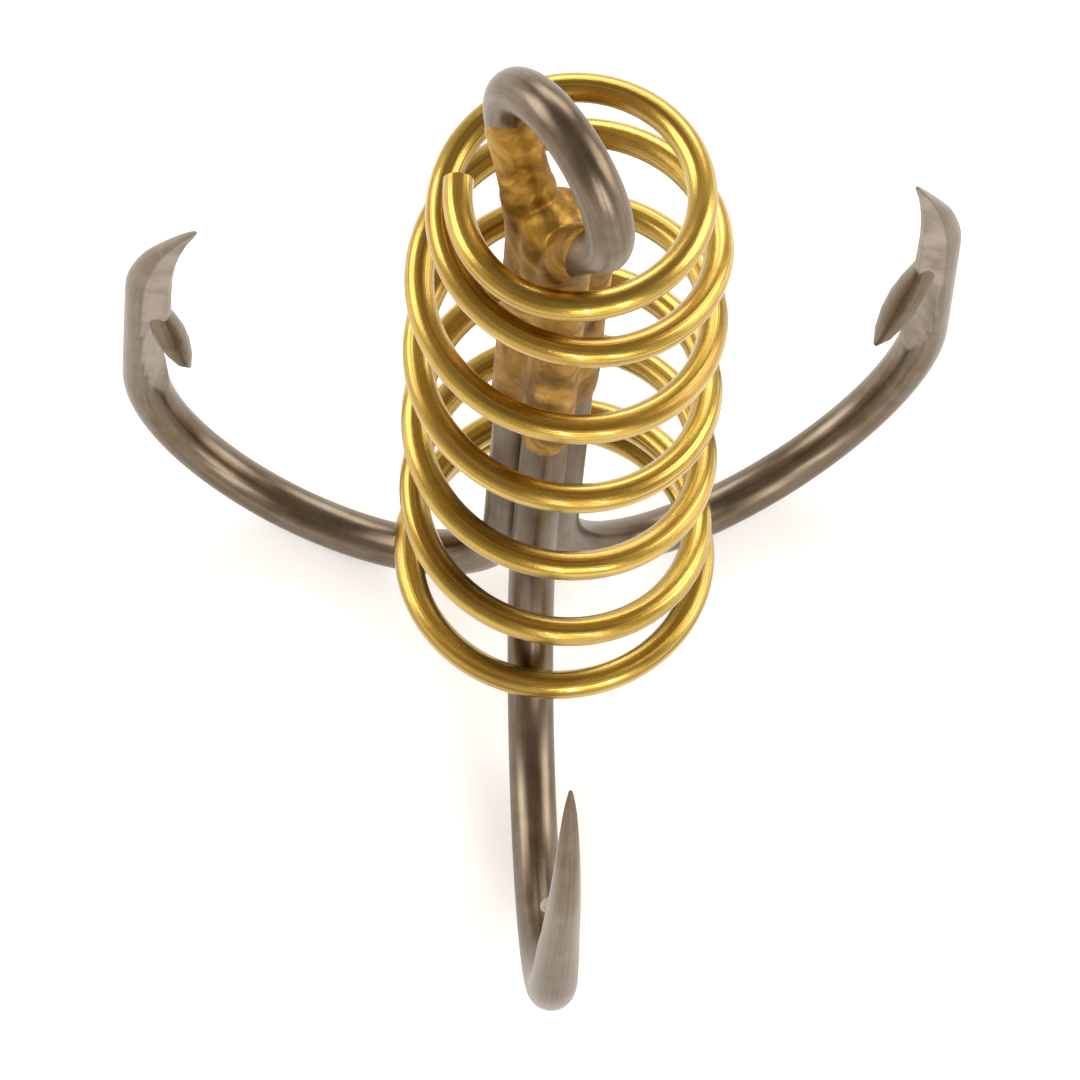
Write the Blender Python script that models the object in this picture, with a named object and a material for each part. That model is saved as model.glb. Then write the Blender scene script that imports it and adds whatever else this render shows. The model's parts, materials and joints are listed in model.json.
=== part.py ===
"""Treble fishing hook with a loose bait spring, in metres, +Z up.

The hook is two bent wires brazed into one shank: a double hook, whose wire
also forms the eye, and a single hook laid in its groove.  A brass wire coil,
the bait spring, sits loosely round the shank and rests on the three bends.
"""
import math

import bmesh
import bpy
from mathutils import Vector

MM = 0.001

# --- driving dimensions, millimetres ------------------------------------------
WIRE_R = 0.57               # hook wire, 1.14 mm diameter
WIRE_GAP = 0.03             # left between the wires that lie side by side
FRONT_AZ = -81.8            # directions of the three hooks, degrees
LEFT_AZ = 161.8
REAR_AZ = 35.7
FRONT_BEND = (5.69, 5.15)   # half width and depth of each bend's centre line
LEFT_BEND = (4.88, 4.42)    # the three bends of the real hook differ a little
REAR_BEND = (5.30, 4.80)
POINT_STRAIGHT = 4.20       # height of the straight run above the bend
POINT_SWEEP_R = 9.30        # radius of the inward curve of the point
POINT_SWEEP = 27.0          # how far the point turns inwards, degrees
POINT_TAPER = 4.60          # length over which the wire is ground to a point
TIP_R = 0.05
BARB_ROOT = 3.10            # height above the bend where the barb is lifted
BARB_DROP = 2.10            # length of the barb from its root to its tip
BARB_OUT = 0.62             # how far the barb stands off the wire

EYE_R = 2.06                # centre-line radius of the eye
EYE_Z = 24.65               # height of the eye's centre
EYE_SHIFT = 0.03            # the ring sits a little towards the front wire
LEFT_THROAT_Z = 19.70       # the eye's legs leave the shank at these heights
FRONT_THROAT_Z = 20.60
SINGLE_TOP_Z = 20.60        # square-cut end of the single hook's shank

BRAZE_LOW_Z = 12.00         # lower wetting line of the braze on the shank
BRAZE_TOP_Z = 21.20
BRAZE_SKIN = 0.10           # thickness of the film over the wires
BRAZE_CLEAR = 0.02

SPRING_R = 0.357            # brass wire, 0.71 mm diameter
SPRING_FOOT = (0.67, 0.43)  # where the coil's axis crosses z = 0
SPRING_LEAN = (-0.027, 0.037)   # the loose coil leans back a little
SPRING_TURNS = 7.0
SPRING_PITCH = 3.484
SPRING_TOP = 20.95          # height of the first turn along the coil's axis
SPRING_TOP_R = 2.65         # centre-line radius of the first turn's cut end
SPRING_NECK_R = 3.03        # of the first turn, which can't pass the eye
SPRING_MID_R = 3.50
SPRING_LOW_R = 3.64

WIRE_SIDES = 14
SPRING_SIDES = 8
SPRING_STEPS = 30           # per turn

SHANK_OFF = (WIRE_R + 0.5 * WIRE_GAP) / math.sin(math.radians(60.0))
UP = Vector((0.0, 0.0, 1.0))


# --- scene and helpers --------------------------------------------------------
for old in list(bpy.data.objects):
    bpy.data.objects.remove(old, do_unlink=True)


def material(name, color, roughness, metallic):
    """A Principled material of one colour."""
    mat = bpy.data.materials.new(name)
    mat.use_nodes = True
    bsdf = mat.node_tree.nodes["Principled BSDF"]
    bsdf.inputs["Base Color"].default_value = (*color, 1.0)
    bsdf.inputs["Roughness"].default_value = roughness
    bsdf.inputs["Metallic"].default_value = metallic
    return mat


def polar(radius, azimuth, z):
    """A point at a radius and an azimuth in degrees."""
    angle = math.radians(azimuth)
    return Vector((radius * math.cos(angle), radius * math.sin(angle), z))


def wire(name, points, radii, sides):
    """A round wire along a path of points, with flat ends, as one closed mesh."""
    curve = bpy.data.curves.new(name, "CURVE")
    curve.dimensions = "3D"
    curve.resolution_u = 1
    curve.render_resolution_u = 0
    curve.twist_mode = "MINIMUM"
    curve.bevel_depth = 1.0 * MM
    curve.bevel_resolution = (sides - 4) // 2
    curve.use_fill_caps = True
    spline = curve.splines.new("POLY")
    spline.points.add(len(points) - 1)
    for point, co, radius in zip(spline.points, points, radii):
        point.co = (co.x * MM, co.y * MM, co.z * MM, 1.0)
        point.radius = radius
    path = bpy.data.objects.new(name + "_path", curve)
    bpy.context.collection.objects.link(path)
    depsgraph = bpy.context.evaluated_depsgraph_get()
    mesh = bpy.data.meshes.new_from_object(path.evaluated_get(depsgraph))
    bpy.data.objects.remove(path, do_unlink=True)
    bm = bmesh.new()
    bm.from_mesh(mesh)
    bmesh.ops.remove_doubles(bm, verts=bm.verts, dist=1e-7)
    bmesh.ops.recalc_face_normals(bm, faces=bm.faces)
    bm.to_mesh(mesh)
    bm.free()
    mesh.name = name
    obj = bpy.data.objects.new(name, mesh)
    bpy.context.collection.objects.link(obj)
    return obj


def boolean(target, cutter, operation):
    """Apply an exact Boolean and remove the tool solid."""
    mod = target.modifiers.new(operation.lower(), "BOOLEAN")
    mod.operation = operation
    mod.solver = "EXACT"
    mod.object = cutter
    depsgraph = bpy.context.evaluated_depsgraph_get()
    mesh = bpy.data.meshes.new_from_object(target.evaluated_get(depsgraph))
    target.modifiers.remove(mod)
    target.data = mesh
    bpy.data.objects.remove(cutter, do_unlink=True)


def finish(obj, mat, angle):
    """Give the piece its material and smooth shading between sharp edges."""
    obj.data.materials.clear()
    obj.data.materials.append(mat)
    obj.data.shade_smooth()
    obj.data.set_sharp_from_angle(angle=math.radians(angle))


# --- the hook wires -------------------------------------------------------------
def hook_side(azimuth, bend):
    """Points and radii of one hook, from the top of its bend to its tip."""
    width, depth = bend
    base = depth + WIRE_R
    rows = []
    bend_steps = 22
    for i in range(bend_steps + 1):
        turn = math.pi * (1.0 + i / bend_steps)
        reach = SHANK_OFF + width * (1.0 + math.cos(turn))
        rows.append((reach, base + depth * math.sin(turn), 1.0))
    outer = SHANK_OFF + 2.0 * width
    straight_top = base + POINT_STRAIGHT
    point_height = POINT_STRAIGHT + POINT_SWEEP_R * math.sin(math.radians(POINT_SWEEP))
    rows.append((outer, base + 0.5 * POINT_STRAIGHT, 1.0))
    rows.append((outer, straight_top, 1.0))
    sweep_steps = 8
    for i in range(1, sweep_steps + 1):
        lean = math.radians(POINT_SWEEP) * i / sweep_steps
        reach = outer - POINT_SWEEP_R * (1.0 - math.cos(lean))
        height = straight_top + POINT_SWEEP_R * math.sin(lean)
        left = min(1.0, (base + point_height - height) / POINT_TAPER)
        rows.append((reach, height, math.sin(0.5 * math.pi * left) ** 0.8))
    points = [polar(reach, azimuth, height) for reach, height, grind in rows]
    radii = [TIP_R + (WIRE_R - TIP_R) * grind for reach, height, grind in rows]
    return points, radii


def barb(azimuth, bend):
    """The sliver lifted off the inner side of a point, as a four-sided wedge."""
    width, depth = bend
    root = depth + WIRE_R + BARB_ROOT
    inner = SHANK_OFF + 2.0 * width - WIRE_R
    half = 0.24
    rows = [
        (inner + 0.30, 0.0, root + 0.45),
        (inner + 0.22, -half, root - 0.15),
        (inner + 0.22, half, root - 0.15),
        (inner + 0.26, 0.0, root - 0.95),
        (inner - BARB_OUT, 0.0, root - BARB_DROP),
    ]
    angle = math.radians(azimuth)
    ahead = Vector((math.cos(angle), math.sin(angle), 0.0))
    aside = Vector((-math.sin(angle), math.cos(angle), 0.0))
    bm = bmesh.new()
    for reach, side, height in rows:
        co = (ahead * reach + aside * side + UP * height) * MM
        bm.verts.new(co)
    bmesh.ops.convex_hull(bm, input=bm.verts)
    bmesh.ops.recalc_face_normals(bm, faces=bm.faces)
    mesh = bpy.data.meshes.new("barb")
    bm.to_mesh(mesh)
    bm.free()
    obj = bpy.data.objects.new("barb", mesh)
    bpy.context.collection.objects.link(obj)
    return obj


def bezier(p0, p1, p2, p3, steps):
    """Points of a cubic curve after its start, up to and with its end."""
    out = []
    for i in range(1, steps + 1):
        t = i / steps
        s = 1.0 - t
        out.append(p0 * s**3 + p1 * 3 * s * s * t + p2 * 3 * s * t * t + p3 * t**3)
    return out


# The eye's plane holds both shanks of the double hook.
left_foot = polar(SHANK_OFF, LEFT_AZ, 0.0)
front_foot = polar(SHANK_OFF, FRONT_AZ, 0.0)
EYE_DIR = (front_foot - left_foot).normalized()
EYE_MID = (front_foot + left_foot) * 0.5 + EYE_DIR * EYE_SHIFT


def eye_point(angle):
    """A point of the eye's ring, at an angle from the front side."""
    turn = math.radians(angle)
    flat = EYE_MID + EYE_DIR * (EYE_R * math.cos(turn))
    return flat + UP * (EYE_Z + EYE_R * math.sin(turn))


def eye_path():
    """The eye from the top of the left shank round to the top of the front one."""
    left_start = left_foot + UP * LEFT_THROAT_Z
    front_start = front_foot + UP * FRONT_THROAT_Z
    enter = 212.0
    leave = -34.0
    tangent_in = (eye_point(enter - 1.0) - eye_point(enter + 1.0)).normalized()
    tangent_out = (eye_point(leave + 1.0) - eye_point(leave - 1.0)).normalized()
    rise = eye_point(enter)
    fall = eye_point(leave)
    points = [left_start]
    points += bezier(left_start, left_start + UP * 1.3, rise - tangent_in * 0.9, rise, 8)
    steps = 24
    for i in range(1, steps):
        points.append(eye_point(enter + (leave - enter) * i / steps))
    points.append(fall)
    points += bezier(fall, fall - tangent_out * 0.9, front_start + UP * 0.9, front_start, 8)
    return points


def double_hook_wire(name, sides):
    """The double hook: left hook, left shank, eye, front shank and front hook."""
    left, left_r = hook_side(LEFT_AZ, LEFT_BEND)
    front, front_r = hook_side(FRONT_AZ, FRONT_BEND)
    eye = eye_path()
    points = list(reversed(left)) + eye + front
    radii = list(reversed(left_r)) + [WIRE_R] * len(eye) + front_r
    return wire(name, points, radii, sides)


def single_hook_wire(name, sides):
    """The single hook, with its square-cut shank end uppermost."""
    side, side_r = hook_side(REAR_AZ, REAR_BEND)
    points = [polar(SHANK_OFF, REAR_AZ, SINGLE_TOP_Z)] + side
    return wire(name, points, [WIRE_R] + side_r, sides)


steel = material("plated_steel", (0.36, 0.32, 0.28), 0.32, 1.0)
double_hook = double_hook_wire("double_hook", WIRE_SIDES)
boolean(double_hook, barb(LEFT_AZ, LEFT_BEND), "UNION")
boolean(double_hook, barb(FRONT_AZ, FRONT_BEND), "UNION")
finish(double_hook, steel, 40.0)

single_hook = single_hook_wire("single_hook", WIRE_SIDES)
boolean(single_hook, barb(REAR_AZ, REAR_BEND), "UNION")
finish(single_hook, steel, 40.0)


# --- the braze ------------------------------------------------------------------
def prism(name, outline, rows):
    """A solid over an outline, with one ring of points at each (height, size)."""
    bm = bmesh.new()
    rings = []
    for height, size in rows:
        ring = []
        for x, y in outline:
            ring.append(bm.verts.new((x * size * MM, y * size * MM, height * MM)))
        rings.append(ring)
    count = len(outline)
    for low, high in zip(rings, rings[1:]):
        for i in range(count):
            j = (i + 1) % count
            bm.faces.new((low[i], low[j], high[j], high[i]))
    bm.faces.new(list(reversed(rings[0])))
    bm.faces.new(rings[-1])
    bmesh.ops.recalc_face_normals(bm, faces=bm.faces)
    mesh = bpy.data.meshes.new(name)
    bm.to_mesh(mesh)
    bm.free()
    obj = bpy.data.objects.new(name, mesh)
    bpy.context.collection.objects.link(obj)
    return obj


def sleeve_outline():
    """Three lobes round the wires, joined by hollow fillets."""
    outline = []
    count = 48
    lobe = WIRE_R + BRAZE_SKIN
    for i in range(count):
        azimuth = 360.0 * i / count
        reach = 0.0
        for wire_az in (FRONT_AZ, LEFT_AZ, REAR_AZ):
            swing = math.radians(azimuth - wire_az)
            along = SHANK_OFF * math.cos(swing)
            across = SHANK_OFF * math.sin(swing)
            if abs(across) < lobe and along > 0.0:
                reach = max(reach, along + math.sqrt(lobe * lobe - across * across))
        reach = max(reach, WIRE_R * 1.42)
        turn = math.radians(azimuth)
        outline.append((reach * math.cos(turn), reach * math.sin(turn)))
    return outline


braze_alloy = material("braze_alloy", (0.55, 0.36, 0.10), 0.42, 1.0)
profile = sleeve_outline()
taper = [(BRAZE_LOW_Z, 0.96), (BRAZE_LOW_Z + 0.5, 1.0), (BRAZE_TOP_Z - 0.5, 1.0)]
taper += [(BRAZE_TOP_Z - 0.2, 0.95), (BRAZE_TOP_Z, 0.82)]
braze_sleeve = prism("braze_sleeve", profile, taper)
below = UP * (BRAZE_LOW_Z - 1.0)
ring = eye_path()
half = len(ring) // 2
grooves = [
    [left_foot + below] + ring[:half],
    ring[half:] + [front_foot + below],
    [polar(SHANK_OFF, REAR_AZ, h) for h in (BRAZE_LOW_Z - 1.0, SINGLE_TOP_Z + BRAZE_CLEAR)],
]
for groove in grooves:
    tool = wire("cut", groove, [WIRE_R + BRAZE_CLEAR] * len(groove), 20)
    boolean(braze_sleeve, tool, "DIFFERENCE")
hollow = [(0.5 * WIRE_R * math.cos(a), 0.5 * WIRE_R * math.sin(a)) for a in
          [math.radians(30.0 * i) for i in range(12)]]
core_tool = prism("cut", hollow, [(BRAZE_LOW_Z - 1.0, 1.0), (LEFT_THROAT_Z - 0.6, 1.0)])
boolean(braze_sleeve, core_tool, "DIFFERENCE")
finish(braze_sleeve, braze_alloy, 35.0)


# --- the bait spring ------------------------------------------------------------
def ramp(x, low, high):
    """0 below low, 1 above high, smooth between."""
    t = min(1.0, max(0.0, (x - low) / (high - low)))
    return t * t * (3.0 - 2.0 * t)


def spring_path():
    """A left-handed coil with closed ends and a smaller first turn."""
    points = []
    total = int(SPRING_TURNS * SPRING_STEPS)
    height = SPRING_TOP
    for i in range(total + 1):
        turn = i / SPRING_STEPS
        rate = 0.07 + 0.93 * ramp(turn, 0.20, 1.50)
        rate *= 1.0 - 0.98 * ramp(turn, 5.75, 6.30)
        height -= SPRING_PITCH * rate / SPRING_STEPS
        radius = SPRING_TOP_R
        radius += (SPRING_NECK_R - SPRING_TOP_R) * ramp(turn, 0.0, 0.25)
        radius += (SPRING_MID_R - SPRING_NECK_R) * ramp(turn, 0.95, 1.50)
        radius += (SPRING_LOW_R - SPRING_MID_R) * ramp(turn, 5.60, 6.30)
        points.append(polar(radius, 180.0 + 360.0 * turn, height))
    return points


brass = material("brass", (0.72, 0.55, 0.16), 0.25, 1.0)
coil = spring_path()
bait_spring = wire("bait_spring", coil, [SPRING_R] * len(coil), SPRING_SIDES)
lean = Vector((SPRING_LEAN[0], SPRING_LEAN[1], 1.0))
bait_spring.location = (SPRING_FOOT[0] * MM, SPRING_FOOT[1] * MM, 0.0)
bait_spring.rotation_mode = "QUATERNION"
bait_spring.rotation_quaternion = UP.rotation_difference(lean)
finish(bait_spring, brass, 50.0)
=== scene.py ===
"""A treble hook with a loose brass bait spring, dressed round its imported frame."""
import json
import math

import bmesh
import bpy
from mathutils import Matrix, Vector, noise


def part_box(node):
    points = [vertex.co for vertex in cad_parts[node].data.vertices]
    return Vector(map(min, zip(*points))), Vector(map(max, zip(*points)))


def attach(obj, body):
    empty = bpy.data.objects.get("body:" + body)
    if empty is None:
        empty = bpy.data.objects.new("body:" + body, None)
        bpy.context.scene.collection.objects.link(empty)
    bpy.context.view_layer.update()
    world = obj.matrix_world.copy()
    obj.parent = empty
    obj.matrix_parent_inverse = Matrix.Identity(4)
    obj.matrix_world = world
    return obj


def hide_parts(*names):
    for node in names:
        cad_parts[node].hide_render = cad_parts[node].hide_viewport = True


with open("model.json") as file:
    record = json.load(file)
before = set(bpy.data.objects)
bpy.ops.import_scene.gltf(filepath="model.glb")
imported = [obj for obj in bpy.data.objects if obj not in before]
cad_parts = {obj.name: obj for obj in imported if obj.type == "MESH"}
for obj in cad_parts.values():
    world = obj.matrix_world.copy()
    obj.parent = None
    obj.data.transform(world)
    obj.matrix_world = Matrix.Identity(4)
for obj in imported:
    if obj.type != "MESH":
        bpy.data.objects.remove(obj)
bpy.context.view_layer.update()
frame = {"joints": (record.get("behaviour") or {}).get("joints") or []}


# ---------------------------------------------------------------------------
# Camera and studio: a long lens looks down on the hook from in front, and the
# light is soft, with two narrow strips in front that draw lines along the wire.
# ---------------------------------------------------------------------------
MM = 0.001
CAMERA_RISE = 64.6              # degrees above the horizon
CAMERA_ROLL = 6.2
CAMERA_DISTANCE = 250.0 * MM
FRAME_WIDTH = 27.0 * MM         # what the frame spans at the origin's distance
AIM_RIGHT = 0.44 * MM           # the aim point, seen from the camera
AIM_UP = 1.90 * MM
SENSOR = 36.0                   # as Blender has it, in millimetres
NEAREST, FARTHEST = 0.01, 5.0   # what the camera can see, in metres

rise = math.radians(CAMERA_RISE)
roll = math.radians(CAMERA_ROLL)
look = Vector((0.0, math.cos(rise), -math.sin(rise)))
level = Vector((1.0, 0.0, 0.0))
upright = level.cross(look)
right = level * math.cos(roll) + upright * math.sin(roll)
above = upright * math.cos(roll) - level * math.sin(roll)
camera_data = bpy.data.cameras.new("camera")
camera_data.sensor_width = SENSOR
camera_data.lens = SENSOR * CAMERA_DISTANCE / FRAME_WIDTH
camera_data.clip_start = NEAREST
camera_data.clip_end = FARTHEST
camera = bpy.data.objects.new("camera", camera_data)
bpy.context.collection.objects.link(camera)
bpy.context.scene.camera = camera
camera_place = right * AIM_RIGHT + above * AIM_UP - look * CAMERA_DISTANCE
turn = Matrix((right, above, -look)).transposed()
camera.matrix_world = Matrix.Translation(camera_place) @ turn.to_4x4()
bpy.context.scene.view_settings.view_transform = "Standard"


def srgb(code):
    """A hex sRGB colour as linear RGBA."""
    linear = []
    for i in (0, 2, 4):
        v = int(code[i:i + 2], 16) / 255.0
        linear.append(v / 12.92 if v <= 0.04045 else ((v + 0.055) / 1.055) ** 2.4)
    return (*linear, 1.0)


def node(tree, kind, settings=None, **links):
    """Adds a shader or geometry node; links give a value or an output per input.

    A link is named for its input, or i0, i1 ... for an input known by its number.
    """
    made = tree.nodes.new(kind)
    for key, value in (settings or {}).items():
        setattr(made, key, value)
    for key, value in links.items():
        name = key.replace("_", " ")
        index = int(key[1:]) if key[0] == "i" and key[1:].isdigit() else None
        socket = made.inputs[index] if index is not None else made.inputs[name]
        if isinstance(value, bpy.types.NodeSocket):
            tree.links.new(value, socket)
        else:
            socket.default_value = value
    return made


def new_material(name):
    """A new material and its empty node tree."""
    mat = bpy.data.materials.new(name)
    mat.use_nodes = True
    mat.node_tree.nodes.clear()
    return mat, mat.node_tree


# Opal acrylic board under the hook, faintly lit from behind: an even, mottled white
# that keeps the shadows soft and lights the undersides of the wires.
BOARD_SIZE = 1.6                # metres, well past what the camera can see
BOARD_DROP = 0.02 * MM          # a hair below the bends, so that no face is shared
BOARD_GLOW = 0.40
BOARD_DARK, BOARD_PALE = "F3F3F2", "F8F8F7"

board, tree = new_material("opal_acrylic")
place = node(tree, "ShaderNodeTexCoord").outputs["Object"]
mottle = node(tree, "ShaderNodeTexNoise", Vector=place, Scale=60.0, Detail=3.0)
tone = node(tree, "ShaderNodeMix", {"data_type": "RGBA"}, i0=mottle.outputs["Fac"])
tone.inputs[6].default_value = srgb(BOARD_DARK)
tone.inputs[7].default_value = srgb(BOARD_PALE)
sheet = node(tree, "ShaderNodeBsdfPrincipled", Base_Color=tone.outputs[2], Roughness=0.9,
             Emission_Color=tone.outputs[2], Emission_Strength=BOARD_GLOW)
node(tree, "ShaderNodeOutputMaterial", Surface=sheet.outputs["BSDF"])
bpy.ops.mesh.primitive_plane_add(size=BOARD_SIZE, location=(0.0, 0.0, -BOARD_DROP))
floor = bpy.context.object
floor.name = "floor"
floor.data.materials.append(board)

# A dim ceiling and paler walls: wires stay dark on top and light at their sides.
WALL, CEILING = "D8CFC4", "9C8F81"
ROOM_STRENGTH = 1.05

world = bpy.data.worlds.new("studio")
bpy.context.scene.world = world
world.use_nodes = True
tree = world.node_tree
sky = node(tree, "ShaderNodeTexCoord").outputs["Generated"]
sky_height = node(tree, "ShaderNodeSeparateXYZ", Vector=sky).outputs["Z"]
walls = node(tree, "ShaderNodeValToRGB", Fac=sky_height)
low, high = walls.color_ramp.elements
low.position = 0.15
low.color = srgb(WALL)
high.position = 0.85
high.color = srgb(CEILING)
backdrop = tree.nodes["Background"]
backdrop.inputs["Strength"].default_value = ROOM_STRENGTH
tree.links.new(walls.outputs["Color"], backdrop.inputs["Color"])

LIGHT_AIM = Vector((0.0, 0.0, 10.0 * MM))
STRIP = (0.022, 0.26)           # width and length of a strip light, in metres


def softbox(name, spot, width, length, watts):
    """A rectangular light that faces the hook."""
    data = bpy.data.lights.new(name, "AREA")
    data.shape = "RECTANGLE"
    data.size = width
    data.size_y = length
    data.energy = watts
    lamp = bpy.data.objects.new(name, data)
    bpy.context.collection.objects.link(lamp)
    lamp.location = spot
    lamp.rotation_mode = "QUATERNION"
    lamp.rotation_quaternion = (LIGHT_AIM - Vector(spot)).to_track_quat("-Z", "Y")


softbox("strip_right", (0.27, -0.33, 0.18), *STRIP, 0.40)
softbox("strip_front", (0.12, -0.41, 0.19), *STRIP, 0.40)
softbox("fill_left", (-0.55, 0.10, 0.30), 0.40, 0.40, 2.0)
softbox("fill_right", (0.55, 0.15, 0.28), 0.40, 0.40, 2.0)
softbox("fill_back", (0.0, 0.60, 0.35), 0.60, 0.30, 2.4)


# ---------------------------------------------------------------------------
# Double hook and single hook: high-carbon steel wire, ground to claw points,
# bent, hardened and plated.  The double hook's wire also forms the line eye.
# ---------------------------------------------------------------------------
UP = Vector((0.0, 0.0, 1.0))
WIRE_R = 0.57
WIRE_GAP = 0.03                 # what the braze fills between two shanks
SHANK_OFF = (WIRE_R + 0.5 * WIRE_GAP) / math.sin(math.radians(60.0))
FRONT_AZ, LEFT_AZ, REAR_AZ = -81.8, 161.8, 35.7
FRONT_BEND = (5.69, 5.15)       # half width and depth of each bend's centre line
LEFT_BEND = (4.88, 4.42)
REAR_BEND = (5.30, 4.80)
# Heights on a point are measured from the end of its bend.
POINT_STRAIGHT = 4.20           # then it sweeps in on an arc
POINT_SWEEP_R = 9.30
POINT_SWEEP = 27.0
POINT_RISE = POINT_STRAIGHT + POINT_SWEEP_R * math.sin(math.radians(POINT_SWEEP))
LEFT_CURL = 0.20                # the left tip curls in this much more than the others
BARB_ROOT = 3.10
BARB_TIP = 1.22
REAR_STRETCH = 1.4              # the rear barb was cut this much longer
WIRE_SIDES = 40
STEP = 0.16                     # distance between rings along a bend
SHANK_STEP, TIP_STEP = 2.0 * STEP, 0.6 * STEP   # wider up a shank, closer at a tip
SHARP = math.radians(21.0)      # a ground ridge is at least this sharp
PLAIN = -9.0                    # the height given to wire that was never ground
PLAIN_OUT = Vector((1.0, 0.0, 0.0))


def polar(radius, azimuth, z):
    """A point at a radius and an azimuth in degrees, in millimetres."""
    angle = math.radians(azimuth)
    return Vector((radius * math.cos(angle), radius * math.sin(angle), z))


def between(rows, x):
    """A value read from (x, value) rows, on a smooth curve that never overshoots."""
    if x <= rows[0][0]:
        return rows[0][1]
    rises = [(y1 - y0) / (x1 - x0) for (x0, y0), (x1, y1) in zip(rows, rows[1:])]
    slopes = [0.0]
    for low, high in zip(rises, rises[1:]):
        slopes.append(2.0 * low * high / (low + high) if low * high > 0.0 else 0.0)
    slopes.append(rises[-1])
    for i, ((x0, y0), (x1, y1)) in enumerate(zip(rows, rows[1:])):
        if x <= x1:
            gap = x1 - x0
            t = (x - x0) / gap
            bow = gap * t * (1.0 - t) * (slopes[i] * (1.0 - t) - slopes[i + 1] * t)
            return y0 + (y1 - y0) * t * t * (3.0 - 2.0 * t) + bow
    return rows[-1][1]


GROUND_LOW = -1.2               # no tool touched the wire below this height
# Height, then half the thickness of the ground point, from side to side.
POINT_SIDE = [(GROUND_LOW, WIRE_R), (0.7, 0.53), (2.2, 0.47), (4.2, 0.40), (6.2, 0.30),
              (7.6, 0.19), (8.1, 0.12), (POINT_RISE, 0.05)]
# The same from the shank's side to the outer side.
POINT_DEEP = [(3.2, WIRE_R), (4.6, 0.56), (5.6, 0.49), (6.5, 0.39), (7.2, 0.29),
              (7.8, 0.18), (8.2, 0.11), (POINT_RISE, 0.05)]
# How much of that half thickness is left on the outer side, towards the tip.
POINT_BACK = [(4.4, 1.0), (6.0, 0.86), (6.9, 0.60), (7.8, 0.36), (POINT_RISE, 0.30)]
# How far the section has gone from round to ground.
GROUND = [(1.6, 0.0), (3.2, 0.85), (4.2, 1.0)]
FACE_LOW = BARB_ROOT - 0.4      # above this the ground faces run to the tip
INNER_EDGE = 1.06               # the inner edge stands a little proud of the round
FACE_SHARE = 0.70               # how much of a quarter turn a ground face takes up
EDGE_SHARE = 0.28               # that edge's half width, as a share of the point's
# The flat left in the wire where the barb was sliced and lifted.
SCAR_LOW = -0.9
SCAR = [(SCAR_LOW, 1.0), (0.4, 0.50), (2.4, 0.22), (BARB_ROOT - 0.2, 0.30), (BARB_ROOT + 0.3, 1.0)]
SCAR_BARE = 0.9                 # cut deeper than this share, the flat shows bare
FACE_EDGE, SCAR_EDGE = 0.02, 0.01   # how near a ridge a corner still counts as ground


def hook_stations(azimuth, bend, curl):
    """Stations from the bend to the tip, which curls in: centre, outward, aside, height."""
    width, depth = bend
    base = depth + WIRE_R
    outer = SHANK_OFF + 2.0 * width
    rows = []
    steps = round(math.pi * 0.5 * (width + depth) / STEP)
    for i in range(steps):
        t = math.pi * (1.0 + i / steps)
        rise = depth * math.sin(t)
        centre = (SHANK_OFF + width * (1.0 + math.cos(t)), base + rise)
        normal = Vector((depth * math.cos(t), width * math.sin(t))).normalized()
        rows.append((centre, normal, rise if t > 1.5 * math.pi else PLAIN))
    steps = round(POINT_STRAIGHT / STEP)
    for i in range(steps):
        height = POINT_STRAIGHT * i / steps
        rows.append(((outer, base + height), Vector((1.0, 0.0)), height))
    steps = round((POINT_RISE - POINT_STRAIGHT) / TIP_STEP)
    for i in range(steps + 1):
        lean = math.radians(POINT_SWEEP) * i / steps
        reach = outer - POINT_SWEEP_R * (1.0 - math.cos(lean)) - curl * (i / steps) ** 2
        height = POINT_STRAIGHT + POINT_SWEEP_R * math.sin(lean)
        rows.append(((reach, base + height), Vector((math.cos(lean), math.sin(lean))), height))
    angle = math.radians(azimuth)
    ahead = Vector((math.cos(angle), math.sin(angle), 0.0))
    aside = Vector((-math.sin(angle), math.cos(angle), 0.0))
    return [(ahead * reach + UP * z, ahead * normal.x + UP * normal.y, aside, height)
            for (reach, z), normal, height in rows]


def ring_offset(outward, aside, direction, height):
    """Where the wire's surface lies from its centre, on the side of direction."""
    if height < GROUND_LOW:
        return direction * WIRE_R
    deep = between(POINT_DEEP, height)
    side = between(POINT_SIDE, height)
    ground = between(GROUND, height)
    x, y = direction.dot(outward), direction.dot(aside)
    round_x, round_y = x * deep, y * side
    if x > 0.0:
        round_x *= between(POINT_BACK, height)
    else:
        # two flat faces slope from ridges on the flanks to a narrow inner edge
        quarter = math.degrees(math.asin(min(1.0, -x))) / 90.0
        if quarter < FACE_SHARE:
            flat_x = -deep * INNER_EDGE * quarter / FACE_SHARE
            flat_y = side * (1.0 - (1.0 - EDGE_SHARE) * quarter / FACE_SHARE)
        else:
            flat_x = -deep * INNER_EDGE
            flat_y = side * EDGE_SHARE * (1.0 - quarter) / (1.0 - FACE_SHARE)
        round_x += (flat_x - round_x) * ground
        round_y += (math.copysign(flat_y, y) - round_y) * ground
    round_x = max(round_x, -deep * INNER_EDGE * between(SCAR, height))
    return outward * round_x + aside * round_y


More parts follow.
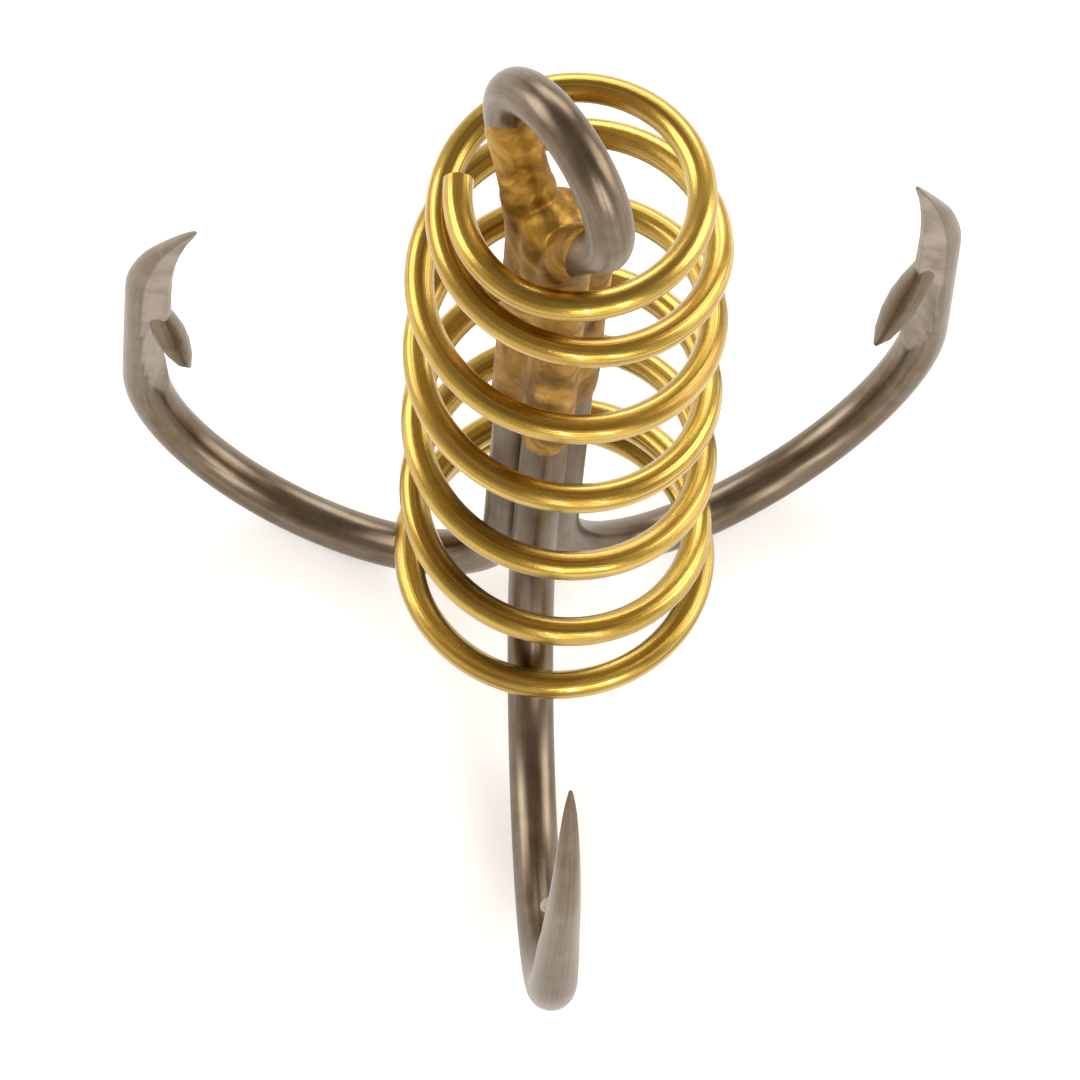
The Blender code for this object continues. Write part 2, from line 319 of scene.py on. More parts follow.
def wire_mesh(name, stations, mat):
    """A swept wire with closed ends; u runs along it and v round it, in mm.

    The ground flats are marked on face corners, which the union with a barb keeps.
    """
    bm = bmesh.new()
    uv = bm.loops.layers.uv.new("wire")
    worn = bm.loops.layers.float.new("ground")
    rings = []
    wear = []
    run = [0.0]
    frames = []
    centres = [station[0] for station in stations]
    side = stations[0][2]
    for i, centre in enumerate(centres):
        along = (centres[min(i + 1, len(centres) - 1)] - centres[max(i - 1, 0)]).normalized()
        if i:
            run.append(run[-1] + (centre - centres[i - 1]).length)
        side = (side - along * side.dot(along)).normalized()
        frames.append((side.cross(along), side))
    # a slight even twist brings the ring's corners onto the last point's ridges
    last = stations[-1][2]
    pitch = 2.0 * math.pi / WIRE_SIDES
    slip = math.atan2(last.dot(frames[-1][0]), last.dot(frames[-1][1]))
    slip -= round(slip / pitch) * pitch
    for i, (centre, outward, aside, height) in enumerate(stations):
        other, side = frames[i]
        ring = []
        flat = []
        for k in range(WIRE_SIDES):
            a = pitch * k - slip * i / (len(stations) - 1)
            direction = other * math.cos(a) + side * math.sin(a)
            offset = ring_offset(outward, aside, direction, height)
            ring.append(bm.verts.new((centre + offset) * MM))
            x = offset.dot(outward)
            scar = between(SCAR, height)
            if height > FACE_LOW:
                flat.append(1.0 if x < -FACE_EDGE else 0.0)
            elif height > SCAR_LOW and scar < SCAR_BARE:
                cut = between(POINT_DEEP, height) * INNER_EDGE * scar
                flat.append(1.0 if x < SCAR_EDGE - cut else 0.0)
            else:
                flat.append(0.0)
        rings.append(ring)
        wear.append(flat)
    girth = 2.0 * math.pi * WIRE_R
    for i, (low, high) in enumerate(zip(rings, rings[1:])):
        for k in range(WIRE_SIDES):
            j = (k + 1) % WIRE_SIDES
            face = bm.faces.new((low[k], low[j], high[j], high[k]))
            spots = ((i, k), (i, k + 1), (i + 1, k + 1), (i + 1, k))
            for loop, (row, column) in zip(face.loops, spots):
                loop[uv].uv = (run[row], girth * column / WIRE_SIDES)
                loop[worn] = wear[row][column % WIRE_SIDES]
    bm.faces.new(rings[0])
    bm.faces.new(list(reversed(rings[-1])))
    bmesh.ops.recalc_face_normals(bm, faces=bm.faces)
    mesh = bpy.data.meshes.new(name)
    bm.to_mesh(mesh)
    bm.free()
    mesh.materials.append(mat)
    mesh.shade_smooth()
    mesh.set_sharp_from_angle(angle=SHARP)
    obj = bpy.data.objects.new(name, mesh)
    bpy.context.collection.objects.link(obj)
    return obj


# Height, reach from the wire's middle, half thickness and half width of a barb.
BARB_ROWS = [(BARB_ROOT + 0.75, -0.20, 0.24, 0.16), (BARB_ROOT + 0.30, -0.27, 0.35, 0.32),
             (BARB_ROOT - 0.15, -0.45, 0.39, 0.42), (BARB_ROOT - 0.60, -0.65, 0.36, 0.46),
             (BARB_ROOT - 1.05, -0.84, 0.29, 0.42), (BARB_ROOT - 1.50, -1.02, 0.19, 0.30),
             (BARB_TIP, -1.17, 0.06, 0.08)]
BARB_SIDES = 20
BARB_STEPS = 5                  # rings between two rows
BARB_FLAT = -0.45               # the side that was against the wire is flat from here
BARB_SLANT = 0.42               # rings lean back with the slice
BARB_SPREAD = 0.65              # a longer barb also stands out further
BARB_U, BARB_V = 0.10, 0.09     # millimetres between rings and between corners


def add_barbs(obj, hooks):
    """Lifts a barb on each hook: a sliver that leaves the inner side and points back.

    A hook is given by its azimuth, its bend and how far its barb is stretched.
    """
    fine = []
    for a, b in zip(BARB_ROWS, BARB_ROWS[1:]):
        for i in range(BARB_STEPS):
            t = i / BARB_STEPS
            fine.append([u + (v - u) * t for u, v in zip(a, b)])
    fine.append(list(BARB_ROWS[-1]))
    bm = bmesh.new()
    uv = bm.loops.layers.uv.new("wire")
    bm.loops.layers.float.new("ground")     # all 0: a lifted barb was never ground
    for azimuth, bend, stretch in hooks:
        base = bend[1] + WIRE_R
        outer = SHANK_OFF + 2.0 * bend[0]
        ahead = polar(1.0, azimuth, 0.0)
        aside = polar(1.0, azimuth + 90.0, 0.0)
        rings = []
        for height, reach, thick, wide in fine:
            height = BARB_ROOT + (height - BARB_ROOT) * stretch
            reach *= 1.0 + BARB_SPREAD * (stretch - 1.0)
            ring = []
            for k in range(BARB_SIDES):
                a = 2.0 * math.pi * k / BARB_SIDES
                x = max(math.cos(a), BARB_FLAT)
                co = ahead * (outer + reach - x * thick) + aside * (math.sin(a) * wide)
                co.z = base + height - BARB_SLANT * x * thick
                ring.append(bm.verts.new(co * MM))
            rings.append(ring)
        for i, (low, high) in enumerate(zip(rings, rings[1:])):
            for k in range(BARB_SIDES):
                j = (k + 1) % BARB_SIDES
                face = bm.faces.new((low[k], low[j], high[j], high[k]))
                spots = ((i, k), (i, k + 1), (i + 1, k + 1), (i + 1, k))
                for loop, (row, column) in zip(face.loops, spots):
                    loop[uv].uv = (BARB_U * row, BARB_V * column)
        bm.faces.new(rings[0])
        bm.faces.new(list(reversed(rings[-1])))
    bmesh.ops.recalc_face_normals(bm, faces=bm.faces)
    slivers = bpy.data.meshes.new("barbs")
    bm.to_mesh(slivers)
    bm.free()
    slivers.materials.append(obj.data.materials[0])
    slivers.shade_smooth()
    barbs = bpy.data.objects.new("barbs", slivers)
    bpy.context.collection.objects.link(barbs)
    join = obj.modifiers.new("barbs", "BOOLEAN")
    join.operation = "UNION"
    join.solver = "EXACT"
    join.object = barbs
    depsgraph = bpy.context.evaluated_depsgraph_get()
    joined = bpy.data.meshes.new_from_object(obj.evaluated_get(depsgraph))
    obj.modifiers.clear()
    obj.data = joined
    joined.name = obj.name
    joined.set_sharp_from_angle(angle=SHARP)
    bpy.data.objects.remove(barbs, do_unlink=True)


# The line eye: a ring between the two shanks of one wire, open where they part.
EYE_R = 2.06
EYE_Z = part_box("double_hook")[1].z / MM - EYE_R - WIRE_R
EYE_SHIFT = 0.03                # the ring sits a hair towards the front shank
EYE_ENTER, EYE_LEAVE = 212.0, -34.0     # where the legs meet the ring, in degrees
EYE_STEPS = 56
LEFT_THROAT_Z, FRONT_THROAT_Z = 19.70, 20.60    # where the shanks end and the legs begin
LEFT_LEG_STEPS, FRONT_LEG_STEPS = 26, 22
LEFT_PULL, LEG_PULL = 1.3, 0.9  # how far a leg keeps its direction at its ends
SINGLE_TOP_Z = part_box("single_hook")[1].z / MM

left_foot = polar(SHANK_OFF, LEFT_AZ, 0.0)
front_foot = polar(SHANK_OFF, FRONT_AZ, 0.0)
eye_dir = (front_foot - left_foot).normalized()
eye_mid = (front_foot + left_foot) * 0.5 + eye_dir * EYE_SHIFT
eye_side = eye_dir.cross(UP)


def eye_point(degrees):
    """A point of the eye's ring, at an angle from the front side."""
    a = math.radians(degrees)
    return eye_mid + eye_dir * (EYE_R * math.cos(a)) + UP * (EYE_Z + EYE_R * math.sin(a))


def bezier(p0, p1, p2, p3, steps):
    """Points of a cubic curve, without its start."""
    points = []
    for i in range(1, steps + 1):
        t = i / steps
        s = 1.0 - t
        points.append(p0 * s**3 + p1 * 3 * s * s * t + p2 * 3 * s * t * t + p3 * t**3)
    return points


def eye_centres():
    """The wire's centre line from the left shank, round the eye, to the front."""
    start = left_foot + UP * LEFT_THROAT_Z
    end = front_foot + UP * FRONT_THROAT_Z
    way_in = (eye_point(EYE_ENTER - 1.0) - eye_point(EYE_ENTER + 1.0)).normalized()
    way_out = (eye_point(EYE_LEAVE - 1.0) - eye_point(EYE_LEAVE + 1.0)).normalized()
    meet = eye_point(EYE_ENTER)
    part = eye_point(EYE_LEAVE)
    sweep = EYE_LEAVE - EYE_ENTER
    points = [start]
    points += bezier(start, start + UP * LEFT_PULL, meet - way_in * LEG_PULL, meet, LEFT_LEG_STEPS)
    points += [eye_point(EYE_ENTER + sweep * i / EYE_STEPS) for i in range(1, EYE_STEPS)]
    points.append(part)
    points += bezier(part, part + way_out * LEG_PULL, end + UP * LEG_PULL, end, FRONT_LEG_STEPS)
    return points


def shank_stations(foot, low, high):
    """Round stations up a straight shank."""
    steps = round((high - low) / SHANK_STEP)
    return [(foot + UP * (low + (high - low) * i / steps), PLAIN_OUT, eye_side, PLAIN)
            for i in range(1, steps)]


# Nickel plating over drawn steel wire: a warm grey-brown metal with soft lines
# from drawing, faint mottling, and duller, scuffed ground points.
PLATE_DARK, PLATE_PALE = "6A5D4B", "857869"
DRAW_LINE, CLEAN = "C9C4BE", "FFFFFF"
GROUND_DARK, GROUND_PALE = "84786C", "A59A8F"
GROUND_DULL = 0.16              # a ground face is this much rougher

plating, tree = new_material("nickel_plated_steel")
place = node(tree, "ShaderNodeTexCoord").outputs["Object"]
lie = node(tree, "ShaderNodeUVMap", {"uv_map": "wire"}).outputs["UV"]
stretch = node(tree, "ShaderNodeMapping", Vector=lie)
stretch.inputs["Scale"].default_value = (0.35, 9.0, 1.0)    # draw lines 0.1 mm apart
lines = node(tree, "ShaderNodeTexNoise", Vector=stretch.outputs[0],
             Scale=1.0, Detail=4.0, Roughness=0.6)
# Blotches about 1 mm across, and grit of 0.1 mm.
cloud = node(tree, "ShaderNodeTexNoise", Vector=place, Scale=900.0, Detail=5.0, Roughness=0.65)
grit = node(tree, "ShaderNodeTexNoise", Vector=place, Scale=9000.0, Detail=3.0, Roughness=0.7)
hue = node(tree, "ShaderNodeValToRGB", Fac=cloud.outputs["Fac"])
low, high = hue.color_ramp.elements
low.position = 0.30
low.color = srgb(PLATE_DARK)
high.position = 0.72
high.color = srgb(PLATE_PALE)
shade = node(tree, "ShaderNodeValToRGB", Fac=lines.outputs["Fac"])
low, high = shade.color_ramp.elements
low.position = 0.25
low.color = srgb(DRAW_LINE)
high.position = 0.60
high.color = srgb(CLEAN)
tint = node(tree, "ShaderNodeMix", {"data_type": "RGBA", "blend_type": "MULTIPLY"}, i0=0.8)
tree.links.new(hue.outputs["Color"], tint.inputs[6])
tree.links.new(shade.outputs["Color"], tint.inputs[7])
dull = node(tree, "ShaderNodeMapRange", Value=cloud.outputs["Fac"], To_Min=0.25, To_Max=0.38)
relief = node(tree, "ShaderNodeMath", {"operation": "MULTIPLY_ADD"},
              i0=grit.outputs["Fac"], i1=0.35, i2=lines.outputs["Fac"])
bump = node(tree, "ShaderNodeBump", Height=relief.outputs[0], Strength=0.08, Distance=0.03 * MM)
cut = node(tree, "ShaderNodeAttribute", {"attribute_name": "ground"}).outputs["Fac"]
pale = node(tree, "ShaderNodeMix", {"data_type": "RGBA"}, i0=cut)
tree.links.new(tint.outputs[2], pale.inputs[6])
grind = node(tree, "ShaderNodeValToRGB", Fac=cloud.outputs["Fac"])
low, high = grind.color_ramp.elements
low.position = 0.36
low.color = srgb(GROUND_DARK)
high.position = 0.60
high.color = srgb(GROUND_PALE)
tree.links.new(grind.outputs["Color"], pale.inputs[7])
rough = node(tree, "ShaderNodeMath", {"operation": "MULTIPLY_ADD"},
             i0=cut, i1=GROUND_DULL, i2=dull.outputs["Result"])
metal = node(tree, "ShaderNodeBsdfPrincipled", Base_Color=pale.outputs[2], Metallic=1.0,
             Roughness=rough.outputs[0], Normal=bump.outputs["Normal"])
node(tree, "ShaderNodeOutputMaterial", Surface=metal.outputs["BSDF"])

left_side = hook_stations(LEFT_AZ, LEFT_BEND, LEFT_CURL)
front_side = hook_stations(FRONT_AZ, FRONT_BEND, 0.0)
stations = list(reversed(left_side))
stations += shank_stations(left_foot, LEFT_BEND[1] + WIRE_R, LEFT_THROAT_Z)
stations += [(point, PLAIN_OUT, eye_side, PLAIN) for point in eye_centres()]
stations += list(reversed(shank_stations(front_foot, FRONT_BEND[1] + WIRE_R, FRONT_THROAT_Z)))
stations += front_side
double_hook = wire_mesh("double_hook_wire", stations, plating)
add_barbs(double_hook, [(LEFT_AZ, LEFT_BEND, 1.0), (FRONT_AZ, FRONT_BEND, 1.0)])
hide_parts("double_hook")
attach(double_hook, "hook")

rear_foot = polar(SHANK_OFF, REAR_AZ, 0.0)
stations = [(rear_foot + UP * SINGLE_TOP_Z, PLAIN_OUT, eye_side, PLAIN)]
stations += list(reversed(shank_stations(rear_foot, REAR_BEND[1] + WIRE_R, SINGLE_TOP_Z)))
stations += hook_stations(REAR_AZ, REAR_BEND, 0.0)
single_hook = wire_mesh("single_hook_wire", stations, plating)
add_barbs(single_hook, [(REAR_AZ, REAR_BEND, REAR_STRETCH)])
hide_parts("single_hook")
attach(single_hook, "hook")


# ---------------------------------------------------------------------------
# Braze: copper-zinc alloy melted into the grooves between the three shanks.  It
# films over the wires, climbs the eye's legs and caps the single hook's end.
# ---------------------------------------------------------------------------
BRAZE_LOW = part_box("braze_sleeve")[0].z / MM
BRAZE_LEFT_TOP = 24.2           # wetting lines on the two legs of the eye
BRAZE_FRONT_TOP = 22.9
POOL_TOP = 22.3                 # the thick pool ends in a step on the left leg
FILM = 0.03                     # the alloy's thickness on a wire, thin and thick
POOL = 0.08
LEFT_LOW, FRONT_LOW, REAR_LOW = BRAZE_LOW + 0.2, BRAZE_LOW - 0.3, BRAZE_LOW + 0.6
SHANK_MARKS = (15.0, 18.0)      # heights that a leg passes on its way up the shank
REAR_TOP = SINGLE_TOP_Z + 0.05  # the alloy just covers the single hook's cut end
LEFT_SLANT, FRONT_SLANT = 0.35, -1.1    # how far a wetting line falls across the leg
SLANT_REACH = 3.0               # and how far down the leg that is felt
RAGGED, RAGGED_SCALE = 0.25, 1.6
LEG_SIDES = 24
LEG_STEP = 0.20                 # distance between rings along a leg
LEG_START = Vector((0.3, 1.0, 0.1))     # rings start on this side; no leg runs this way
LEG_TUCK = 0.10                 # the last ring dips under the wire's surface
LEG_CLEAR = 3                   # rings at the low end that stay even
FILLER_LOW_R, FILLER_TOP_R = 0.80, 0.72
FILLER_LIFT = 0.30
CAP_R = 0.62                    # the cap leans in over the single hook's cut end
CAP_IN, CAP_SINK = 0.75, 0.15
DROP_ROWS = 16
# Drops that run together in the eye's throat and down the front groove: place, radius.
DROPS = [((-0.12, -0.10, 20.7), 0.80), ((-0.10, 0.35, 21.1), 0.72),
         ((-0.35, -0.05, 21.5), 0.66), ((-0.36, -0.28, 19.2), 0.56),
         ((-0.36, -0.28, 19.8), 0.57), ((-0.38, -0.27, 20.4), 0.58),
         ((-0.40, -0.25, 21.0), 0.58), ((-0.30, -0.32, 21.5), 0.52)]
MELT = 0.055                    # voxel that melts the pieces into one
MELT_EASE, MELT_ROUNDS = 0.6, 12    # then how hard and how often it is smoothed
SWELL = 0.03                    # gives back what the smoothing takes
LUMP, LUMP_SCALE = 0.030, 1.3   # slow swells and small beads on the surface
BEAD, BEAD_SCALE = 0.012, 4.0

eye_line = eye_centres()
half = len(eye_line) // 2
left_leg = [(left_foot + UP * z, POOL) for z in (LEFT_LOW, *SHANK_MARKS)]
for point in eye_line[:half]:
    if point.z < BRAZE_LEFT_TOP:
        left_leg.append((point, POOL if point.z < POOL_TOP else FILM))
front_leg = [(front_foot + UP * z, FILM) for z in (FRONT_LOW, *SHANK_MARKS)]
front_leg += [(point, FILM) for point in reversed(eye_line[half:]) if point.z < BRAZE_FRONT_TOP]
rear_leg = [(rear_foot + UP * z, POOL) for z in (REAR_LOW, *SHANK_MARKS, REAR_TOP)]


def flowed(name, legs, mat):
    """Alloy round the wires: film and filler melted together, then drawn smooth.

    A leg is a row of (point, thickness), given with how far its top edge slants.
    """
    bm = bmesh.new()
    for leg, slant in legs:
        fine = []
        for (a, thick), (b, _) in zip(leg, leg[1:]):
            count = max(1, round((b - a).length / LEG_STEP))
            fine += [(a.lerp(b, i / count), thick) for i in range(count)]
        fine.append(leg[-1])
        last = len(fine) - 1
        rings = []
        for i, (centre, thick) in enumerate(fine):
            along = (fine[min(i + 1, last)][0] - fine[max(i - 1, 0)][0]).normalized()
            one = along.cross(LEG_START).normalized()
            two = along.cross(one)
            radius = WIRE_R + thick - (LEG_TUCK if i in (0, last) else 0.0)
            lean = slant * max(0.0, 1.0 - (fine[-1][0] - centre).length / SLANT_REACH)
            uneven = i > LEG_CLEAR and slant
            ring = []
            for k in range(LEG_SIDES):
                a = 2.0 * math.pi * k / LEG_SIDES
                side = one * math.cos(a) + two * math.sin(a)
                shift = lean * side.dot(eye_dir)
                if uneven:
                    shift += RAGGED * noise.noise((centre + side) * RAGGED_SCALE)
                ring.append(bm.verts.new(centre + side * radius + along * shift))
            rings.append(ring)
        for low, high in zip(rings, rings[1:]):
            for k in range(LEG_SIDES):
                j = (k + 1) % LEG_SIDES
                bm.faces.new((low[k], low[j], high[j], high[k]))
        bm.faces.new(rings[0])
        bm.faces.new(list(reversed(rings[-1])))
    filler = bmesh.ops.create_cone(bm, cap_ends=True, segments=LEG_SIDES, radius1=FILLER_LOW_R,
                                   radius2=FILLER_TOP_R, depth=SINGLE_TOP_Z - BRAZE_LOW - FILLER_LIFT)
    middle = 0.5 * (SINGLE_TOP_Z + BRAZE_LOW) + FILLER_LIFT
    bmesh.ops.translate(bm, verts=filler["verts"], vec=(0.0, 0.0, middle))
    cap = rear_foot * CAP_IN + UP * (SINGLE_TOP_Z - CAP_SINK)
    for centre, radius in [(cap, CAP_R)] + DROPS:
        drop = bmesh.ops.create_uvsphere(bm, u_segments=LEG_SIDES, v_segments=DROP_ROWS,
                                         radius=radius)
        bmesh.ops.translate(bm, verts=drop["verts"], vec=centre)
    bmesh.ops.recalc_face_normals(bm, faces=bm.faces)
    mesh = bpy.data.meshes.new(name)
    bm.to_mesh(mesh)
    bm.free()
    obj = bpy.data.objects.new(name, mesh)
    bpy.context.collection.objects.link(obj)
    remesh = obj.modifiers.new("remesh", "REMESH")
    remesh.mode = "VOXEL"
    remesh.voxel_size = MELT
    smooth = obj.modifiers.new("smooth", "SMOOTH")
    smooth.factor = MELT_EASE
    smooth.iterations = MELT_ROUNDS
    depsgraph = bpy.context.evaluated_depsgraph_get()
    done = bpy.data.meshes.new_from_object(obj.evaluated_get(depsgraph))
    obj.modifiers.clear()
    obj.data = done
    done.name = name
    normals = [vertex.normal.copy() for vertex in done.vertices]
    for vertex, normal in zip(done.vertices, normals):
        lump = noise.noise(vertex.co * LUMP_SCALE) * LUMP + noise.noise(vertex.co * BEAD_SCALE) * BEAD
        vertex.co = (vertex.co + normal * (lump + SWELL)) * MM
    done.materials.clear()
    done.materials.append(mat)
    done.shade_smooth()
    return obj


# Brazing brass that has flowed and cooled: amber to brown, mottled, with a soft
# shine and small pits and beads.
BRAZE_DARK, BRAZE_MIDDLE, BRAZE_PALE = "5C4012", "98722E", "CBA659"

alloy, tree = new_material("brazing_brass")
place = node(tree, "ShaderNodeTexCoord").outputs["Object"]
# Patches about 1 mm across, and pits of 0.2 mm.
patch = node(tree, "ShaderNodeTexNoise", Vector=place,
             Scale=850.0, Detail=6.0, Roughness=0.6, Distortion=0.8)
pits = node(tree, "ShaderNodeTexNoise", Vector=place, Scale=5200.0, Detail=4.0, Roughness=0.65)
hue = node(tree, "ShaderNodeValToRGB", Fac=patch.outputs["Fac"])
low, high = hue.color_ramp.elements
low.position = 0.32
low.color = srgb(BRAZE_DARK)
high.position = 0.70
high.color = srgb(BRAZE_PALE)
middle_tone = hue.color_ramp.elements.new(0.50)
middle_tone.color = srgb(BRAZE_MIDDLE)
dull = node(tree, "ShaderNodeMapRange", Value=pits.outputs["Fac"], To_Min=0.36, To_Max=0.60)
relief = node(tree, "ShaderNodeMath", {"operation": "MULTIPLY_ADD"},
              i0=pits.outputs["Fac"], i1=0.25, i2=patch.outputs["Fac"])
bump = node(tree, "ShaderNodeBump", Height=relief.outputs[0], Strength=0.45, Distance=0.12 * MM)
metal = node(tree, "ShaderNodeBsdfPrincipled", Base_Color=hue.outputs["Color"], Metallic=1.0,
             Roughness=dull.outputs["Result"], Normal=bump.outputs["Normal"])
node(tree, "ShaderNodeOutputMaterial", Surface=metal.outputs["BSDF"])

braze = flowed("braze", [(left_leg, LEFT_SLANT), (front_leg, FRONT_SLANT), (rear_leg, 0.0)], alloy)
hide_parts("braze_sleeve")
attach(braze, "hook")


# ---------------------------------------------------------------------------
# Bait spring: hard-drawn brass wire coiled left-handed, closed at both ends,
# with a smaller first turn.  It is loose round the shank and stands just clear of
# the bends.
# ---------------------------------------------------------------------------
SPRING_R = 0.357
SPRING_TURNS = 7.0
SPRING_PITCH = 3.484
SPRING_TOP = 20.95              # height of the top cut end's centre
SPRING_TOP_AZ = 180.0           # the side that end is on
# Radius of the coil's middle line: cut end, first turn, body and last turn.
SPRING_TOP_R, SPRING_NECK_R, SPRING_MID_R, SPRING_LOW_R = 2.65, 3.03, 3.50, 3.64
# The turns, counted from the top, over which the pitch opens and closes again.
OPENS, CLOSES = (0.20, 1.50), (5.75, 6.30)
TOP_PITCH, LOW_PITCH = 0.07, 0.02       # what is left of the pitch in the closed turns
# The turns over which the radius changes: end to first turn, to body, to last turn.
END_OUT, NECK_OUT, LOW_OUT = (0.0, 0.25), (0.95, 1.50), (5.60, 6.30)
COIL_STEPS = 96                 # points in a turn
COIL_SIDES = 32
COIL_SHARP = math.radians(50.0) # only the rims of the cut ends are sharper

joint = [j for j in frame["joints"] if j["name"] == "spring_turn"][0]
spring_foot = Vector(joint["pos_m"]) / MM
spring_lean = UP.rotation_difference(Vector(joint["axis"]))


def ramp(x, low, high):
    """0 below low, 1 above high, smooth between."""
    t = min(1.0, max(0.0, (x - low) / (high - low)))
    return t * t * (3.0 - 2.0 * t)


def coil_points():
    """The coil's centre line, from its top cut end to its bottom one."""
    points = []
    height = SPRING_TOP
    for i in range(round(SPRING_TURNS * COIL_STEPS) + 1):
        turns = i / COIL_STEPS
        rate = TOP_PITCH + (1.0 - TOP_PITCH) * ramp(turns, *OPENS)
        rate *= 1.0 - (1.0 - LOW_PITCH) * ramp(turns, *CLOSES)
        height -= SPRING_PITCH * rate / COIL_STEPS
        radius = SPRING_TOP_R + (SPRING_NECK_R - SPRING_TOP_R) * ramp(turns, *END_OUT)
        radius += (SPRING_MID_R - SPRING_NECK_R) * ramp(turns, *NECK_OUT)
        radius += (SPRING_LOW_R - SPRING_MID_R) * ramp(turns, *LOW_OUT)
        spot = polar(radius, SPRING_TOP_AZ + 360.0 * turns, height)
        points.append(spring_foot + spring_lean @ spot)
    return points


coil = bpy.data.curves.new("coil", "CURVE")
coil.dimensions = "3D"
spline = coil.splines.new("POLY")
track = coil_points()
spline.points.add(len(track) - 1)
for point, co in zip(spline.points, track):
    point.co = (*(co * MM), 1.0)
coil_path = bpy.data.objects.new("coil_path", coil)
bpy.context.collection.objects.link(coil_path)

# Lacquered drawn brass: yellow and bright, with fine draw lines and specks under a
# thin clear coat that pales its edges.
BRASS_DARK, BRASS_PALE = "B8983C", "D2B455"
BRASS_LINE, BRASS_CLEAN = "A88A4C", "FFFFFF"

brass, tree = new_material("drawn_brass")
place = node(tree, "ShaderNodeTexCoord").outputs["Object"]
lie = node(tree, "ShaderNodeAttribute", {"attribute_name": "lie"}).outputs["Vector"]
stretch = node(tree, "ShaderNodeMapping", Vector=lie)
stretch.inputs["Scale"].default_value = (0.07, 11.0, 1.0)   # draw lines 0.09 mm apart
lines = node(tree, "ShaderNodeTexNoise", Vector=stretch.outputs[0],
             Scale=1.0, Detail=5.0, Roughness=0.7)
# Tarnish in patches of about 1.5 mm, and specks of 0.15 mm.
cloud = node(tree, "ShaderNodeTexNoise", Vector=place, Scale=700.0, Detail=4.0, Roughness=0.6)
speck = node(tree, "ShaderNodeTexNoise", Vector=place, Scale=7000.0, Detail=2.0)
hue = node(tree, "ShaderNodeValToRGB", Fac=cloud.outputs["Fac"])
low, high = hue.color_ramp.elements
low.position = 0.30
low.color = srgb(BRASS_DARK)
high.position = 0.72
high.color = srgb(BRASS_PALE)
shade = node(tree, "ShaderNodeValToRGB", Fac=lines.outputs["Fac"])
low, high = shade.color_ramp.elements
low.position = 0.34
low.color = srgb(BRASS_LINE)
high.position = 0.58
high.color = srgb(BRASS_CLEAN)
tint = node(tree, "ShaderNodeMix", {"data_type": "RGBA", "blend_type": "MULTIPLY"}, i0=1.0)
tree.links.new(hue.outputs["Color"], tint.inputs[6])
tree.links.new(shade.outputs["Color"], tint.inputs[7])
dull = node(tree, "ShaderNodeMapRange", Value=lines.outputs["Fac"],
            From_Min=0.3, From_Max=0.7, To_Min=0.38, To_Max=0.16)
relief = node(tree, "ShaderNodeMath", {"operation": "MULTIPLY_ADD"},
              i0=speck.outputs["Fac"], i1=0.2, i2=lines.outputs["Fac"])
bump = node(tree, "ShaderNodeBump", Height=relief.outputs[0], Strength=0.30, Distance=0.03 * MM)
metal = node(tree, "ShaderNodeBsdfPrincipled", Base_Color=tint.outputs[2], Metallic=1.0,
             Roughness=dull.outputs["Result"], Normal=bump.outputs["Normal"],
             Coat_Weight=0.6, Coat_Roughness=0.12)
node(tree, "ShaderNodeOutputMaterial", Surface=metal.outputs["BSDF"])

# A round section swept along the coil, which marks where each spot lies on the wire.
draw = bpy.data.node_groups.new("coil_wire", "GeometryNodeTree")
draw.interface.new_socket("Path", in_out="INPUT", socket_type="NodeSocketGeometry")
radius_in = draw.interface.new_socket("Wire radius", in_out="INPUT", socket_type="NodeSocketFloat")
sides_in = draw.interface.new_socket("Sides", in_out="INPUT", socket_type="NodeSocketInt")
finish_in = draw.interface.new_socket("Finish", in_out="INPUT", socket_type="NodeSocketMaterial")
draw.interface.new_socket("Wire", in_out="OUTPUT", socket_type="NodeSocketGeometry")
given = node(draw, "NodeGroupInput")
span = node(draw, "GeometryNodeSplineParameter")
marked = node(draw, "GeometryNodeStoreNamedAttribute", {"data_type": "FLOAT", "domain": "POINT"},
              Geometry=given.outputs["Path"], Name="along", Value=span.outputs["Length"])
circle = node(draw, "GeometryNodeCurvePrimitiveCircle", Resolution=given.outputs["Sides"],
              Radius=given.outputs["Wire radius"])
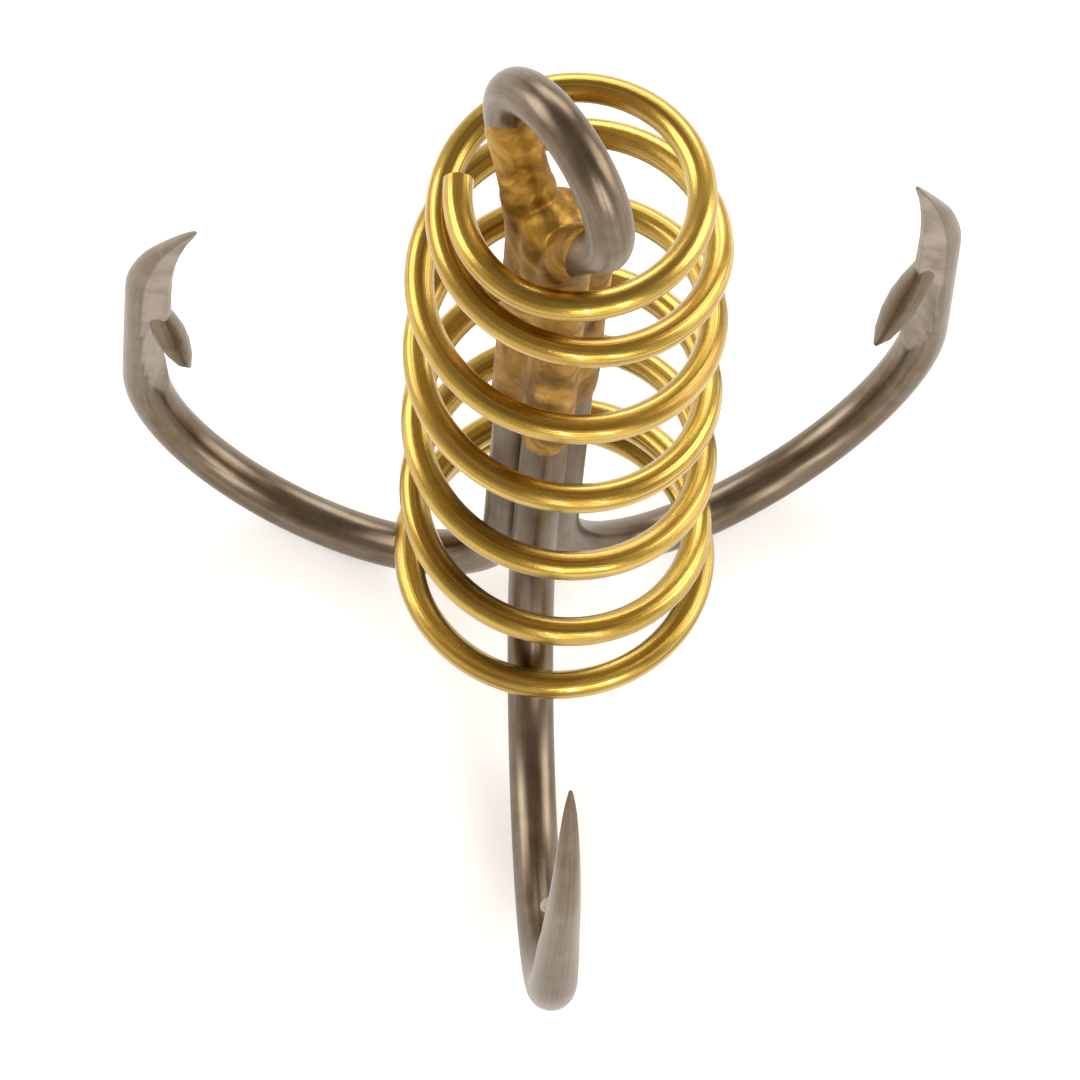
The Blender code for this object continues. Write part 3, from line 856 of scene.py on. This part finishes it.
span_round = node(draw, "GeometryNodeSplineParameter")
section = node(draw, "GeometryNodeStoreNamedAttribute", {"data_type": "FLOAT", "domain": "POINT"},
               Geometry=circle.outputs["Curve"], Name="round", Value=span_round.outputs["Length"])
swept = node(draw, "GeometryNodeCurveToMesh", Curve=marked.outputs["Geometry"],
             Profile_Curve=section.outputs["Geometry"], Fill_Caps=True)
along = node(draw, "GeometryNodeInputNamedAttribute", {"data_type": "FLOAT"}, Name="along")
about = node(draw, "GeometryNodeInputNamedAttribute", {"data_type": "FLOAT"}, Name="round")
spread = node(draw, "ShaderNodeCombineXYZ", X=along.outputs["Attribute"],
              Y=about.outputs["Attribute"])
in_mm = node(draw, "ShaderNodeVectorMath", {"operation": "SCALE"},
             i0=spread.outputs[0], Scale=1.0 / MM)
laid = node(draw, "GeometryNodeStoreNamedAttribute", {"data_type": "FLOAT_VECTOR", "domain": "POINT"},
            Geometry=swept.outputs["Mesh"], Name="lie", Value=in_mm.outputs[0])
soft = node(draw, "GeometryNodeSetShadeSmooth", Geometry=laid.outputs["Geometry"])
whole = node(draw, "GeometryNodeRealizeInstances", Geometry=soft.outputs["Geometry"])
coated = node(draw, "GeometryNodeSetMaterial", Geometry=whole.outputs["Geometry"],
              Material=given.outputs["Finish"])
node(draw, "NodeGroupOutput", Wire=coated.outputs["Geometry"])

sweep = coil_path.modifiers.new("coil_wire", "NODES")
sweep.node_group = draw
sweep[radius_in.identifier] = SPRING_R * MM
sweep[sides_in.identifier] = COIL_SIDES
sweep[finish_in.identifier] = brass
depsgraph = bpy.context.evaluated_depsgraph_get()
coil_mesh = bpy.data.meshes.new_from_object(coil_path.evaluated_get(depsgraph))
bpy.data.objects.remove(coil_path, do_unlink=True)
coil_mesh.name = "bait_spring_coil"
coil_mesh.set_sharp_from_angle(angle=COIL_SHARP)
bait_spring = bpy.data.objects.new("bait_spring_coil", coil_mesh)
bpy.context.collection.objects.link(bait_spring)
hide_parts("bait_spring")
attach(bait_spring, "spring")
